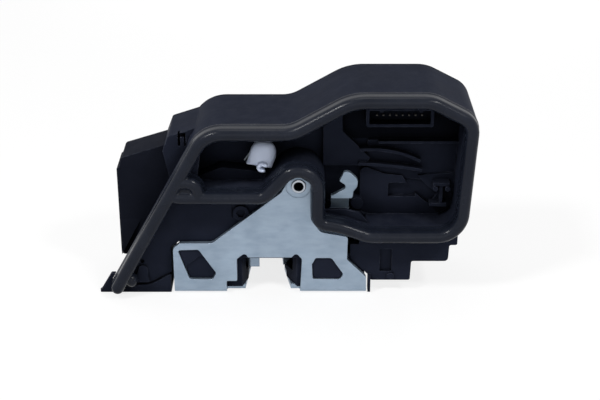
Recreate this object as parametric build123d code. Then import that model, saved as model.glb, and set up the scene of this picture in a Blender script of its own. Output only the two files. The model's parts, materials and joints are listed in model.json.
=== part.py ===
from build123d import *
from math import atan2, cos, degrees, pi, radians, sin, tan
import os

# Door latch actuator, in millimetres. X runs along the latch, Y from the seal towards the back, Z up.
# Z = 0 is the outer face of the shut plate, X = 0 the middle of the striker mouth, and Y = 0 the row
# of the two fixing holes in the shut plate.

# Steel plate
sheet = 2.5
flangeFace = -18.0
flangeLeft = -49.2
flangeRight = 49.6
plateBack = 33.0
bendRadius = 3.0
shutHoleSpacing = 66.0
shutThreadHole = 5.0
thirdHole = (30.0, 24.0)
bushCentre = (14.8, 60.8)
bushOuter = 7.4
bushThreadHole = 5.0
bushProud = 1.0
mouthLeft = -16.8
mouthRight = 15.5
mouthTop = 20.7
mouthPlateFront = -12.8
slotEnd = 25.0
slotRadius = 6.0

# Seal
sealWidth = 7.4
sealDepth = 8.2
sealRound = 3.1
tailEnd = (-77.8, 5.8)
forkPoint = (-37.0, 79.5)
loopTop = 90.3
loopCrown = 106.8
loopFloor = 35.0
loopBar = 56.6
loopLeft = -40.5
loopRight = 99.5
tipLeft = 10.5
tipRight = 24.4
tipTop = 70.9

# Plastic housing
wall = 2.4
rim = 7.0
housingFront = -15.2
midWall = 0.0
housingBack = 21.6
coverBack = 24.0
coverBulge = 3.4
caseTop = 28.4
clearance = 0.3
shoulderFront = -6.0
sideFace = 3.0
sideLeft = -78.5
snapWindow = (-45.6, -41.6, 77.3, 84.3)
frontBoss = (-14.3, 45.0)

# Claw and pawl
clawPivot = (-17.5, 10.0)
strikerOpen = 2.0
jawHalf = 6.2
jawHeading = -86.0
clawRadius = 29.0
clawBottom = 10.0
clawThick = 5.0
skinThick = 1.0
clawPinRadius = 4.0
pawlPivot = (24.0, 4.0)
pawlPinRadius = 3.5
pinReach = 5.0
pawlTipAngle = 12.0
fingerArm = 12.5
fingerRadius = 2.0
chamberTop = clawBottom + clawThick + skinThick + 0.8

# Inside release lever
releasePivot = (34.5, 31.0)
releaseSheet = 2.5
releasePinRadius = 2.5
releaseArm = -9.4
releaseHook = -13.2
bayBack = -4.5

# Lock lever and its drive
lockPivot = (-3.2, (loopBar + loopTop) / 2 + 0.15)
lockShaftRadius = 3.0
toothModule = 1.5
pinionTeeth = 16
sectorTeeth = 39
gearHeading = -27.0
wormModule = 1.2
wheelTeeth = 24
wormPitchRadius = 3.0
wormLength = 15.0
gearMiddle = 12.2
motorWidth = 18.0
motorHeight = 22.0
motorLength = 27.0

# Outside release lever
outsidePivot = (-22.0, 46.0)
outsideSheet = 2.0
outsidePinRadius = 3.0

# Connector
socketCentre = (65.0, loopCrown - 13.4)
socketWidth = 30.5
socketHeight = 7.2
socketWall = 1.5
socketFront = -8.0
terminalSink = 4.4
terminalPitch = 3.2
terminals = 8
clipCentre = (87.0, 51.6)


def outline(*corners):
    # Closed face from corners given as (x, y, corner radius).
    points = [(x, y) for x, y, r in corners]
    radii = [r for x, y, r in corners]
    return make_face(FilletPolyline(*points, radius=radii, close=True))


def slabY(face, front, back):
    # Solid of an X-Z outline between two depths.
    return extrude(Plane.XZ.offset(-front) * face, amount=front - back)


def slabZ(face, bottom, top):
    # Solid of an X-Y outline between two heights.
    return extrude(Pos(0, 0, bottom) * face, amount=top - bottom)


def slabX(face, left, right):
    # Solid of a Y-Z outline between two places along the latch.
    return extrude(Plane.YZ.offset(left) * face, amount=right - left)


def block(x0, x1, y0, y1, z0, z1):
    return Pos((x0 + x1) / 2, (y0 + y1) / 2, (z0 + z1) / 2) * Box(x1 - x0, y1 - y0, z1 - z0)


def rodY(centre, radius, front, back):
    # Round bar along Y at an X-Z place.
    return slabY(Pos(*centre) * Circle(radius), front, back)


def rodZ(centre, radius, bottom, top):
    return slabZ(Pos(*centre) * Circle(radius), bottom, top)


def turned(centre, reach, angle):
    return (centre[0] + reach * cos(radians(angle)), centre[1] + reach * sin(radians(angle)))


# Seal: a closed loop round the recess, and a tail that runs down the sloping left edge.

def loopPath():
    return FilletPolyline(
        (-31.1, loopTop),
        (11.8, loopTop),
        (41.0, loopCrown),
        (79.0, loopCrown),
        (loopRight, 96.1),
        (loopRight - 3.4, loopFloor),
        (50.0, loopFloor),
        (37.0, 40.0),
        (tipRight, 42.6),
        (tipRight, tipTop),
        (tipLeft, tipTop),
        (-2.5, loopBar),
        (loopLeft, loopBar),
        forkPoint,
        radius=(15, 20, 26, 15, 9, 13, 12, 12, 5, 9.5, 8, 7, 7, 9),
        close=True,
    )


def tailSlope():
    return degrees(atan2(forkPoint[1] - tailEnd[1], forkPoint[0] - tailEnd[0]))


def bandFace(width):
    # Band along the loop and the tail, with the fork between them filled.
    loop = make_face(loopPath())
    hole = offset(loop, -width / 2)
    tail = Line(forkPoint, tailEnd)
    middle = tail @ 0.5
    strip = Pos(middle.X, middle.Y) * Rot(0, 0, tailSlope()) * SlotCenterToCenter(tail.length, width)
    return offset(loop, width / 2) + strip + forkFace(width) - hole


def forkFace(width):
    foot = loopBar - width / 2
    run = (forkPoint[1] - foot) / tan(radians(tailSlope()))
    return outline((*forkPoint, 0), (forkPoint[0] - run, foot, 0), (loopLeft, foot, 0))


def sealSection(at, along, inner=-sealWidth / 2):
    # Rubber section, flat on its seat, with its round front corners in two flats each.
    half = sealWidth / 2
    plane = Plane(origin=at, x_dir=Vector(0, -1, 0).cross(along), z_dir=along)
    cut = sealRound * (1 - cos(radians(45)))
    corner = [(half, sealDepth - sealRound), (half - cut, sealDepth - cut), (half - sealRound, sealDepth)]
    other = [(-x, y) for x, y in reversed(corner)] if inner < 0 else [(inner, sealDepth)]
    profile = Polyline((inner, 0), (half, 0), *corner, *other, close=True)
    return plane * make_face(profile)


def sealGasket():
    seat = Plane.XZ.offset(-flangeFace)
    loop = seat * loopPath()
    ring = sweep(sealSection(loop @ 0, loop % 0), path=loop)
    tail = seat * Line(forkPoint, tailEnd)
    strip = sweep(sealSection(tail @ 0, tail % 0), path=tail)
    end = revolve(sealSection(tail @ 1, tail % 1, 0), Axis(tail @ 1, (0, 1, 0)), 180)
    fork = slabY(forkFace(sealWidth), flangeFace - sealDepth + sealRound, flangeFace)
    return ring + strip + end + fork


# Steel: one bent sheet, with the flange in front and the shut plate below.

def flangeOuter():
    return outline(
        (flangeLeft, 0, 0),
        (flangeLeft, 26.0, 3),
        (-45.5, 28.7, 2),
        (-29.2, 28.7, 5),
        (6.0, 57.0, 4),
        (9.5, 63.0, 3),
        (14.8, 66.0, 4),
        (21.0, 62.0, 3),
        (21.0, 42.0, 5),
        (26.0, 35.0, 4),
        (39.8, 32.4, 1.5),
        (39.5, 19.5, 1.5),
        (flangeRight - 0.2, 9.4, 1.5),
        (flangeRight, 0, 0),
    )


def mouthFace():
    return outline(
        (mouthLeft - 5.5, -1, 0),
        (mouthLeft - 5.5, 7.1, 0.8),
        (mouthLeft, 7.1, 0.8),
        (mouthLeft, 19.8, 1.5),
        (-12.6, 23.3, 1.5),
        (-11.0, mouthTop, 0.5),
        (11.2, mouthTop, 0.5),
        (13.5, 23.3, 1.5),
        (mouthRight + 1, 19.8, 1.5),
        (mouthRight, -1, 0),
    )


def leftWindow():
    return outline(
        (-46.9, 24.8, 1),
        (-36.2, 25.2, 2),
        (-27.4, 11.6, 2),
        (-29.4, 8.0, 1.5),
        (-41.2, 8.0, 2),
    )


def rightWindow():
    return outline(
        (21.6, 16.8, 1),
        (23.5, 20.4, 1),
        (31.6, 20.4, 2),
        (37.9, 10.8, 2),
        (35.8, 8.0, 1.5),
        (22.0, 8.2, 1),
    )


def shutSlot():
    # Striker slot in the shut plate, wider where the striker comes in.
    entry = outline(
        (-12.9, mouthPlateFront - 1, 0),
        (-10.6, 12, 2),
        (-10.6, slotEnd, slotRadius),
        (7.2, slotEnd, slotRadius),
        (7.2, 8, 2),
        (10.9, mouthPlateFront - 1, 0),
    )
    gap = outline(
        (mouthLeft - 5.5, flangeFace - 1, 0),
        (mouthLeft - 5.5, mouthPlateFront, 1),
        (mouthRight, mouthPlateFront, 1),
        (mouthRight, flangeFace - 1, 0),
    )
    return entry + gap


def shutHoles():
    return [(-shutHoleSpacing / 2, 0), (shutHoleSpacing / 2, 0), thirdHole]


def latchPlate():
    flange = slabY(flangeOuter() - mouthFace() - leftWindow() - rightWindow(), flangeFace, flangeFace + sheet)
    shut = outline(
        (flangeLeft, flangeFace, 0),
        (flangeRight, flangeFace, 0),
        (flangeRight, plateBack, 6),
        (flangeLeft, plateBack, 6),
    )
    plate = slabZ(shut, 0, sheet) - slabZ(shutSlot(), -1, sheet + 1)
    body = flange + plate
    bend = body.edges().filter_by(Axis.X).filter_by(
        lambda e: abs(e.center().Y - flangeFace) < 0.01 and abs(e.center().Z) < 0.01
    )
    body = fillet(bend, bendRadius)
    for hole in shutHoles():
        body -= rodZ(hole, shutThreadHole / 2, -1, sheet + 1)
    for pin, radius in ((clawPivot, clawPinRadius), (pawlPivot, pawlPinRadius)):
        body -= rodZ(pin, radius, -1, sheet + 1)
    body -= rodY(bushCentre, bushOuter / 2 - 0.6, flangeFace - 1, 0)
    circle = Pos(*bushCentre) * (Circle(6.6) - Circle(6.1))
    return body - slabY(circle, flangeFace, flangeFace + 0.3)


def flangeBush():
    head = rodY(bushCentre, bushOuter / 2, flangeFace - bushProud, flangeFace)
    head = chamfer(head.edges().group_by(Axis.Y)[0], 0.3)
    shank = rodY(bushCentre, bushOuter / 2 - 0.6, flangeFace, flangeFace + sheet + 6)
    return head + shank - rodY(bushCentre, bushThreadHole / 2, flangeFace - 2, 0)


# Upper housing

def housingFace():
    loop = offset(make_face(loopPath()), rim / 2)
    behindFlange = outline(
        (*forkPoint, 0),
        (*tailEnd, 0),
        (-76.0, 4.6, 1),
        (-62.2, 4.8, 6),
        (-50.6, 11.2, 1),
        (-50.6, 25.6, 2),
        (-46.0, caseTop + clearance, 2),
        (41.2, caseTop + clearance, 0),
        (50.0, 40.0, 0),
        (20.0, 68.0, 3),
        (5.0, 68.0, 3),
        (-10.0, 62.0, 0),
    )
    return loop + behindFlange + lowerRightFace()


def lowerRightFace():
    return outline(
        (41.2, 37.0, 0),
        (41.2, 18.9, 1),
        (51.0, 9.0, 1),
        (52.0, 6.3, 1),
        (72.2, 6.3, 1),
        (72.6, 17.2, 1),
        (91.4, 17.2, 2),
        (91.8, 26.4, 1),
        (95.8, 26.4, 1),
        (95.8, 37.0, 0),
    )


def shoulderFace():
    # Stepped shoulder behind the upper left corner of the seal.
    return outline(
        (-50.5, 60.0, 0),
        (-53.5, 74.4, 1),
        (-50.5, 82.3, 2),
        (-32.1, 88.4, 3),
        (-24.8, 93.4, 2),
        (-18.0, 93.7, 0),
        (-18.0, 60.0, 0),
    )


def compartmentFace():
    # Actuator space behind the middle wall.
    inner = offset(housingFace() + shoulderFace(), -wall)
    left, right = -50.2, loopRight - 5.3
    low, high = loopFloor - 4, loopCrown + rim
    return inner & (Pos((left + right) / 2, (low + high) / 2) * Rectangle(right - left, high - low))


def screwPlaces():
    aboveCase = caseTop + 8.6
    return [
        (-43.5, aboveCase),
        (forkPoint[0] - 6.0, forkPoint[1] - 0.5),
        (9.0, loopTop - 4.3),
        (loopRight - 9.5, loopCrown - 12.8),
        (loopRight - 11.0, loopFloor + 5.0),
        (8.0, aboveCase),
    ]


def wheelCentre():
    reach = toothModule * (pinionTeeth + sectorTeeth) / 2
    return turned(lockPivot, reach, gearHeading)


def mainHousing():
    body = slabY(housingFace(), housingFront, housingBack)
    body += slabY(shoulderFace(), shoulderFront, housingBack)
    seat = bandFace(rim) - offset(flangeOuter(), 0.05)
    body += slabY(seat, flangeFace, housingFront + 0.1)
    hole = offset(make_face(loopPath()), -rim / 2)
    body -= slabY(hole, flangeFace - 1, midWall)
    body -= slabY(compartmentFace(), midWall + wall, housingBack + 1)
    body -= slabY(offset(shoulderFace(), -wall) - hole, shoulderFront + wall, housingBack + 1)
    lower = offset(housingFace(), -wall) & (Pos(-34, 25) * Rectangle(92, 50))
    body -= slabY(lower, housingFront + wall, housingBack + 1)
    body -= slabY(offset(lowerRightFace(), -wall), housingFront + wall, housingBack + 1)
    body -= block(-95, -50.7, sideFace - clearance, 40, -1, 74.6)
    body -= leverBay()
    body += recessDetail() + leverLip() + frontDetail()
    body -= frontCuts()
    body += rearBosses()
    body -= rodY(lockPivot, lockShaftRadius + 0.08, -20, 10)
    body -= rodY(bushCentre, bushOuter / 2 - 0.6, -20, flangeFace + sheet + 6)
    return body - terminalPins()


def leverBay():
    # Room for the inside release lever, which passes below the bottom run of the seal seat.
    bay = outline(
        (24.0, 27.0, 0),
        (24.0, 36.0, 2),
        (29.0, 48.0, 2),
        (53.0, 48.0, 2),
        (48.0, 36.0, 2),
        (45.5, 27.0, 0),
    )
    return slabY(bay, housingFront - 0.5, bayBack)


def leverLip():
    # Low wall in front of the inside release lever, where it leaves the recess.
    lip = outline((26.0, 38.0, 0), (26.0, 46.6, 1), (38.0, 46.8, 2), (45.5, 44.6, 2), (53.0, 36.0, 0))
    return slabY(lip & make_face(loopPath()), housingFront, housingFront + 1.5)


def frontDetail():
    # Hex boss, pad, pin and thin foot on the front wall outside the recess.
    free = offset(flangeOuter(), clearance) + bandFace(rim)
    boss = Pos(*frontBoss) * (Circle(4.0) - RegularPolygon(2.5, 6))
    pad = outline((-69.6, 5.6, 1), (-67.0, 15.2, 2), (-63.2, 15.2, 2), (-62.2, 5.6, 1))
    pin = Pos(62.0, 9.0) * Circle(1.9)
    detail = slabY(boss + pad + pin - free, housingFront - 1.3, housingFront + 0.2)
    return detail + block(50.4, 51.8, housingFront - 2.0, housingFront + 3.0, 0.3, 9.8)


def frontCuts():
    # Snap window in the shoulder, blind hole beside the tail and shallow slot on the lower right.
    left, right, low, high = snapWindow
    window = block(left, right, shoulderFront - 1, shoulderFront + wall + 1, low, high)
    window -= block(left + 1.2, right - 0.8, shoulderFront, shoulderFront + wall + 2, low - 1, high - 2.4)
    hole = rodY((-65.7, 17.1), 1.2, housingFront - 2, housingFront + 1.5)
    slot = block(56.5, 62.6, housingFront - 1, housingFront + 1.4, 11.4, 24.1)
    groove = block(-19.0, -18.4, housingFront - 1, housingFront + 0.5, 42.0, 54.0)
    return window + hole + slot + groove


def recessDetail():
    # Walls, ledges and curved ribs standing forward from the middle wall.
    loop = offset(make_face(loopPath()), -rim / 2 + 0.2)
    step = loopCrown - 27.8
    island = outline(
        (27.2, 66.0, 0),
        (27.2, 87.0, 0),
        (36.4, 96.0, 0),
        (37.0, 84.6, 1),
        (45.7, 75.4, 2),
        (50.8, 69.9, 0),
        (48.0, 66.0, 0),
    )
    mound = outline(
        (-36.0, 52.0, 0),
        (-36.0, 62.0, 5),
        (-24.0, 67.0, 5),
        (-7.0, 65.0, 5),
        (3.5, 61.0, 5),
        (6.0, 52.0, 0),
    )
    pad = outline(
        (46.0, 34.0, 0),
        (46.0, 66.0, 3),
        (58.0, 61.0, 4),
        (70.0, 59.5, 4),
        (98.0, 62.0, 0),
        (98.0, 34.0, 0),
    )
    panel = outline((49.6, 60.0, 0), (49.6, step, 1), (98.0, step, 0), (98.0, 55.0, 0))
    lip = outline((55.0, step - 1.2, 0), (55.0, step, 0), (98.0, step, 0), (98.0, step - 1.2, 0))
    detail = slabY(island, -4, midWall + 0.5)
    detail += slabY(mound, -9, midWall + 0.5)
    detail += slabY(panel, -1.8, midWall + 0.5)
    detail += slabY(lip, -4, midWall + 0.5)
    detail += slabY(pad, -3, midWall + 0.5) - slabY(cableHollow(), -4, -0.5)
    detail += rodY((44.6, 45.6), 3.2, -6, midWall + 0.5)
    for start, bend, end in guideRibs():
        path = ThreePointArc(start, bend, end)
        detail += slabY(trace(path, 1.5), -6, midWall + 0.5)
    detail &= slabY(loop, -12, midWall + 0.5)
    return detail + rodY(lockPivot, 5.5, -5, midWall + 0.5)


def guideRibs():
    return [
        ((46.0, 75.0), (61.0, 74.4), (76.0, 69.0)),
        ((45.0, 67.5), (61.0, 66.4), (77.0, 64.0)),
    ]


def cableHollow():
    # Curved pocket that the inner cable runs down, and the square pocket beside it.
    curve = trace(ThreePointArc((68.0, 68.0), (74.0, 56.0), (84.0, 47.0)), 7)
    square = Pos(67.5, 52.0) * Rectangle(14, 7.5)
    return curve + square


def bossRoot(place):
    # The bosses outside the recess start from the front plate, the others from the middle wall.
    return housingFront + 1 if place[1] < 40 and place[0] < 20 else midWall + 0.5


def rearBosses():
    bosses = Part()
    for place in screwPlaces():
        column = rodY(place, 3.6, bossRoot(place), housingBack)
        bosses += column - rodY(place, 1.25, housingBack - 12, housingBack + 1)
    return bosses


def rearCover():
    plate = slabY(housingFace() + shoulderFace(), housingBack, coverBack)
    plate -= block(-95, -50.7 + clearance, 0, 40, -1, 74.6)
    plate -= block(-60, 41.2, 0, 40, -1, caseTop + clearance)
    inside = slabY(offset(compartmentFace(), -clearance), housingBack - 1.5, housingBack)
    inside -= slabY(offset(compartmentFace(), -clearance - 1.6), housingBack - 2, housingBack)
    top = coverBack + coverBulge
    for face in (motorBulge(), wheelBulge()):
        plate += slabY(face, coverBack, top)
        inside -= slabY(face, housingBack - 3, housingBack)
    for face in (motorBulge(), wheelBulge()):
        plate -= slabY(offset(face, -wall), housingBack - 1, top - wall)
    for rib in coverRibs():
        plate += slabY(rib, coverBack, coverBack + 1.2)
    for place in screwPlaces():
        plate -= rodY(place, 1.6, housingBack - 1, coverBack + 1)
        inside -= rodY(place, 4.2, housingBack - 3, housingBack)
    return plate + inside


def motorBulge():
    # Raised roof over the motor, whose can needs more depth than the rest.
    x, y, z = wormAxis()
    left = motorLeft() - 4
    right = motorLeft() + motorLength + 6
    low = z - motorHeight / 2 - 1.5
    high = z + motorHeight / 2 + 1.5
    return outline((left, low, 2), (left, high - 4, 2), (left + 4, high, 2), (right, high, 2), (right, low, 2))


def wheelBulge():
    return Pos(*wheelCentre()) * Circle(wormModule * wheelTeeth / 2 + 3)


def coverRibs():
    # Stiffening ribs between the bulges and the rim.
    x, z = wheelCentre()
    low = loopFloor + 5
    ribs = [Pos(62.0 + 9 * n, low + 6) * Rectangle(1.4, 16) for n in range(3)]
    ribs.append(Pos(x - 4, loopTop - 8) * Rectangle(26, 1.4))
    ribs.append(Pos(x - 4, loopTop - 12) * Rectangle(26, 1.4))
    ribs.append(Pos(-22.0, loopTop - 8) * Rectangle(24, 1.4))
    return ribs


def sideCover():
    # Box on the left of the housing, open to the front where the housing plugs into it.
    face = outline(
        (sideLeft, 12.0, 2),
        (sideLeft, 61.0, 0.5),
        (sideLeft + 1.5, 62.0, 0.5),
        (-75.8, 67.1, 2),
        (-53.8, 74.0, 1),
        (-51.2, 74.0, 0),
        (-51.2, 12.0, 0),
    )
    box = slabY(face, sideFace, coverBack)
    box -= slabY(offset(face, -wall), sideFace - 1, coverBack - wall)
    front = slabY(face & (Pos(-68, 43) * Rectangle(34.6, 80)), sideFace, sideFace + wall)
    wedge = Polyline((sideFace + 1, 38), (sideFace - 3.6, 13), (sideFace + 1, 13), close=True)
    front += slabX(make_face(wedge), sideLeft + 0.6, -58)
    front -= slabY(offset(bandFace(rim), clearance), -20, sideFace)
    front -= slabY(offset(housingFace(), clearance), -20, sideFace)
    return box + front


def baseSkirt():
    foot = outline(
        (-88.0, 0, 0.8),
        (-81.6, 10.8, 0.8),
        (-78.0, 10.8, 0.5),
        (-76.0, 4.2, 1),
        (-69.0, 3.9, 2),
        (-62.2, 4.3, 4),
        (-56.9, 7.0, 3),
        (-51.0, 10.6, 0.5),
        (-51.0, 0, 0.5),
    )
    front = slabY(foot, housingFront - 1.6, housingFront + 0.8)
    floor = outline(
        (-88.0, housingFront - 1.6, 0.5),
        (-51.0, housingFront - 1.6, 0.5),
        (-51.0, 18.0, 4),
        (-72.0, 18.0, 12),
    )
    base = slabZ(floor, 0, 1.8)
    rib = block(-74, -72.4, sideFace + 1, 14, 1.8, 12)
    rib += block(-56, -54.4, sideFace + 1, 14, 1.8, 12)
    skirt = front + base + rib
    return skirt - slabY(offset(housingFace() + bandFace(rim), clearance), flangeFace, sideFace)


# Latch case over the shut plate

def latchCase():
    face = outline(
        (-46.4, sheet, 0.5),
        (-46.4, caseTop, 2),
        (40.8, caseTop, 1),
        (40.8, 19.0, 1),
        (48.6, 10.4, 1),
        (48.6, sheet, 0.5),
    )
    body = slabY(face, housingFront, plateBack)
    upper = outline((-60, caseTop - 8, 0), (-60, 60, 0), (60, 60, 0), (60, caseTop - 8, 0))
    body -= slabY(upper, coverBack + 0.4, plateBack + 1)
    body -= slabZ(chamberFace(), clawBottom - 0.8, chamberTop)
    throat = outline(
        (-14.6, housingFront - 1, 0),
        (-11.4, -6.0, 2),
        (-11.4, 24.0, 5),
        (8.4, 24.0, 5),
        (8.4, -4.0, 2),
        (14.4, housingFront - 1, 0),
    )
    body -= slabZ(throat, 0, 19.0)
    body -= block(17.5, 33.5, housingFront - 1, bayBack, chamberTop - 2, caseTop + 1)
    body -= block(17.5, 44.0, housingFront - 1, bayBack, 21.5, caseTop + 1)
    body -= rodZ(clawPivot, 7.0, chamberTop - 1, chamberTop + 3)
    body -= strikerBuffer()
    for face, inset in ((leftWindow(), 0.35), (rightWindow(), 0.35)):
        body += slabY(offset(face, -inset), flangeFace + 0.8, housingFront + 0.1)
    body -= leftPadStep()
    for x0, x1 in ((-43, -31), (-28, -16), (-12, 6), (10, 22), (26, 37)):
        body -= block(x0, x1, 4, 21, caseTop - 5, caseTop + 1)
    for pin, radius in ((clawPivot, clawPinRadius), (pawlPivot, pawlPinRadius)):
        body -= rodZ(pin, radius, 0, chamberTop) + rodZ(pin, radius - 1, 0, chamberTop + pinReach)
    for hole in shutHoles():
        body -= rodZ(hole, shutThreadHole / 2 + 0.5, 0, 16)
    return body


def leftPadStep():
    # The lower right corner of the left pad lies deeper, along a sloping line.
    step = Polyline((-42.6, 15.6), (-36.0, 21.0), (-20.0, 21.0), (-20.0, 5.0), (-42.6, 5.0), close=True)
    return slabY(make_face(step), flangeFace, flangeFace + 1.6) & slabY(leftWindow(), -19, housingFront)


def chamberFace():
    # Space that the claw and the pawl sweep.
    return outline(
        (-32.0, -10.0, 6),
        (-32.0, 22.0, 8),
        (-22.0, 31.4, 6),
        (12.0, 31.4, 3),
        (32.5, 18.0, 4),
        (32.5, -12.6, 2),
        (17.0, -12.6, 1),
        (12.0, -10.8, 1),
        (8.4, -9.0, 1),
        (-12.0, -9.0, 1),
        (-13.0, -10.0, 0.5),
    )


# Claw and pawl lie flat between the shut plate and the roof of the chamber.

def clawShape(grow=0.0):
    # Fork with its mouth turned to the striker, as it stands when open.
    x, y = clawPivot
    body = outline(
        (x - 9.5, y - 2.0, 4),
        (x - 8.0, y + 7.0, 4),
        (x + 5.0, y + 11.0, 4),
        (x + 16.0, y + 7.0, 3),
        (x + clawRadius - 3, y - 2.5, 1),
        (x + clawRadius + 3, y - 4.5, 0.5),
        (x + clawRadius + 3, -6.5, 1),
        (jawHalf, -7.0, 1.2),
        (-jawHalf, -7.6, 1.5),
        (-11.2, -7.6, 1.5),
        (x + 4.0, y - 9.0, 4),
    )
    body = offset(body, grow) if grow else body
    disc = Pos(x, y) * Circle(clawRadius + grow)
    jaw = Circle(jawHalf - grow) + Pos(0, 10) * Rectangle(2 * (jawHalf - grow), 20)
    return (body & disc) - Pos(0, strikerOpen) * Rot(0, 0, jawHeading - 90) * jaw


def claw():
    bore = Pos(*clawPivot) * Circle(clawPinRadius + 0.05)
    return slabZ(clawShape() - bore, clawBottom, clawBottom + clawThick)


def clawOvermould():
    # Plastic skin on the upper face and the right arm, which quiets the striker.
    x, y = clawPivot
    skin = clawShape() - Pos(x, y) * Circle(17.5)
    skin &= Pos(20, 0) * Rectangle(40, 60)
    return slabZ(skin, clawBottom + clawThick, clawBottom + clawThick + skinThick)


def pawlShape():
    x, y = pawlPivot
    tip = clawRadius + 0.35
    low = turned(clawPivot, tip, pawlTipAngle - 3.0)
    high = turned(clawPivot, tip, pawlTipAngle + 2.0)
    return outline(
        (*low, 0.4),
        (*high, 0.4),
        (high[0] + 3.0, high[1] + 1.6, 1),
        (x + 1.0, y + 7.0, 5),
        (x + 6.5, y + 1.0, 4),
        (x + 3.0, y - fingerArm - 2.4, 2),
        (x - 2.6, y - fingerArm - 2.4, 2),
        (x - 5.5, y - 1.0, 4),
    )


def pawl():
    bore = Pos(*pawlPivot) * Circle(pawlPinRadius + 0.05)
    return slabZ(pawlShape() - bore, clawBottom, clawBottom + clawThick)


def pawlFinger():
    x, y = pawlPivot
    post = rodZ((x, y - fingerArm), fingerRadius, clawBottom + clawThick, caseTop - 0.5)
    return chamfer(post.edges().group_by(Axis.Z)[-1], 0.5)


def pivotPin(place, radius):
    # Shouldered rivet: its foot is spread in the shut plate and its stem goes up into the case.
    return rodZ(place, radius, 0.2, chamberTop) + rodZ(place, radius - 1, chamberTop, chamberTop + pinReach)


def strikerBuffer():
    shape = outline((-9.0, 23.0, 1), (-9.0, 26.6, 1), (6.0, 26.6, 1), (6.0, 23.0, 1))
    return slabZ(shape, sheet + 0.4, clawBottom - 1.2)


# Inside release lever: a bent sheet with a hook for the inner cable at its upper end, set forward.

def insideRelease():
    x, z = releasePivot
    hook = outline(
        (x - 3.4, z + 20.8, 0.5),
        (x - 2.6, z + 22.4, 1),
        (x + 4.2, z + 26.4, 1.5),
        (x + 3.4, z + 28.4, 1.5),
        (x + 0.8, z + 30.2, 0.5),
        (x + 3.0, z + 35.2, 1),
        (x + 5.6, z + 35.4, 3),
        (x + 10.2, z + 31.0, 4),
        (x + 9.6, z + 27.0, 3),
        (x + 7.8, z + 24.6, 1.5),
        (x + 7.4, z + 20.8, 1),
    )
    arm = outline(
        (x - 3.8, z + 14.4, 0),
        (x + 5.9, z + 14.4, 0),
        (x + 5.0, z, 4),
        (x + 2.0, z - 5.0, 3),
        (x - 5.5, z - 7.0, 2),
        (x - 8.1, z - 7.0, 1.2),
        (x - 8.1, z - 3.6, 1.2),
        (x - 5.0, z, 3),
    )
    body = slabY(hook, releaseHook, releaseHook + releaseSheet)
    body += slabY(arm, releaseArm, releaseArm + releaseSheet)
    bend = Polyline(
        (releaseArm, z + 14.0),
        (releaseHook, z + 20.8),
        (releaseHook, z + 22.4),
        (releaseHook + releaseSheet, z + 22.4),
        (releaseArm + releaseSheet, z + 14.4),
        (releaseArm + releaseSheet, z + 13.6),
        (releaseArm, z + 13.6),
        close=True,
    )
    body += slabX(make_face(bend), x - 3.4, x + 5.7)
    return body - rodY(releasePivot, releasePinRadius + 0.05, -20, 0)


def releasePin():
    head = rodY(releasePivot, releasePinRadius + 1.8, releaseArm - 1.5, releaseArm - clearance)
    head = chamfer(head.edges().group_by(Axis.Y)[0], 0.7)
    stem = rodY(releasePivot, releasePinRadius, releaseArm - clearance, bayBack)
    collar = rodY(releasePivot, releasePinRadius + 1.6, releaseArm + releaseSheet + clearance, bayBack)
    return head + stem + collar


# Lock lever, its shaft through the middle wall and the sector behind it

def lockLever():
    x, z = lockPivot
    crown = Polyline((0, -8.2), (6.6, -8.2), (6.6, -10.2), (5.2, -12.6), (3.0, -13.6), (0, -13.6), close=True)
    dome = Pos(x, 0, z) * revolve(make_face(crown), Axis.Y)
    wing = outline(
        (x - 9.2, z - 3.4, 0.8),
        (x - 5.4, z + 3.4, 2),
        (x + 5.4, z + 3.4, 2),
        (x + 6.4, z - 3.0, 2),
        (x + 4.8, z - 7.4, 1.2),
        (x + 2.8, z - 6.4, 0.8),
        (x - 0.4, z - 9.2, 1.2),
        (x - 3.6, z - 6.2, 1),
        (x - 8.6, z - 5.4, 0.8),
    )
    body = dome + slabY(wing, -10.6, -8.2)
    notch = Pos(x - 0.8, z - 5.6) * Circle(1.4)
    body -= slabY(notch, -20, 0)
    hub = rodY(lockPivot, 4.6, -8.2, -5.3)
    return body + hub - rodY(lockPivot, 1.6, -9.5, 0)


def lockShaft():
    body = rodY(lockPivot, lockShaftRadius, -5.3, 9.0)
    return body + rodY(lockPivot, 1.6, -9.5, -5.3)


def toothedFace(teeth, pitchRadius, first, count, fullness, phase):
    # Wheel or sector with tapered teeth; phase is the heading of tooth number zero.
    module = 2 * pitchRadius / teeth
    root = pitchRadius - 1.2 * module
    tip = pitchRadius + 0.8 * module
    half = 90 / teeth * fullness
    face = Sketch()
    for number in range(first, first + count):
        heading = phase + number * 360 / teeth
        corners = [
            turned((0, 0), root - 0.5, heading - half * 1.5),
            turned((0, 0), pitchRadius, heading - half),
            turned((0, 0), tip, heading - half * 0.45),
            turned((0, 0), tip, heading + half * 0.45),
            turned((0, 0), pitchRadius, heading + half),
            turned((0, 0), root - 0.5, heading + half * 1.5),
        ]
        face += make_face(Polyline(*corners, close=True))
    return face, root


def sectorGear():
    radius = toothModule * sectorTeeth / 2
    pitch = 360 / sectorTeeth
    teeth, root = toothedFace(sectorTeeth, radius, -4, 6, 0.8, gearHeading + pitch / 2)
    ends = (gearHeading - 4.4 * pitch, gearHeading + 2.4 * pitch)
    reach = root + 5
    side = make_face(
        Polyline(
            (0, 0),
            turned((0, 0), reach, ends[0]),
            turned((0, 0), reach * 1.06, 0.5 * (ends[0] + ends[1])),
            turned((0, 0), reach, ends[1]),
            close=True,
        )
    )
    web = side & (Circle(root) - Circle(6))
    web -= Rot(0, 0, 0.5 * (ends[0] + ends[1])) * Pos(15.5, 0) * SlotOverall(11, 5.5)
    face = teeth + web + Circle(6.2)
    body = slabY(Pos(*lockPivot) * face, 3.2, 6.2)
    return body - rodY(lockPivot, lockShaftRadius, 0, 10)


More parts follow.
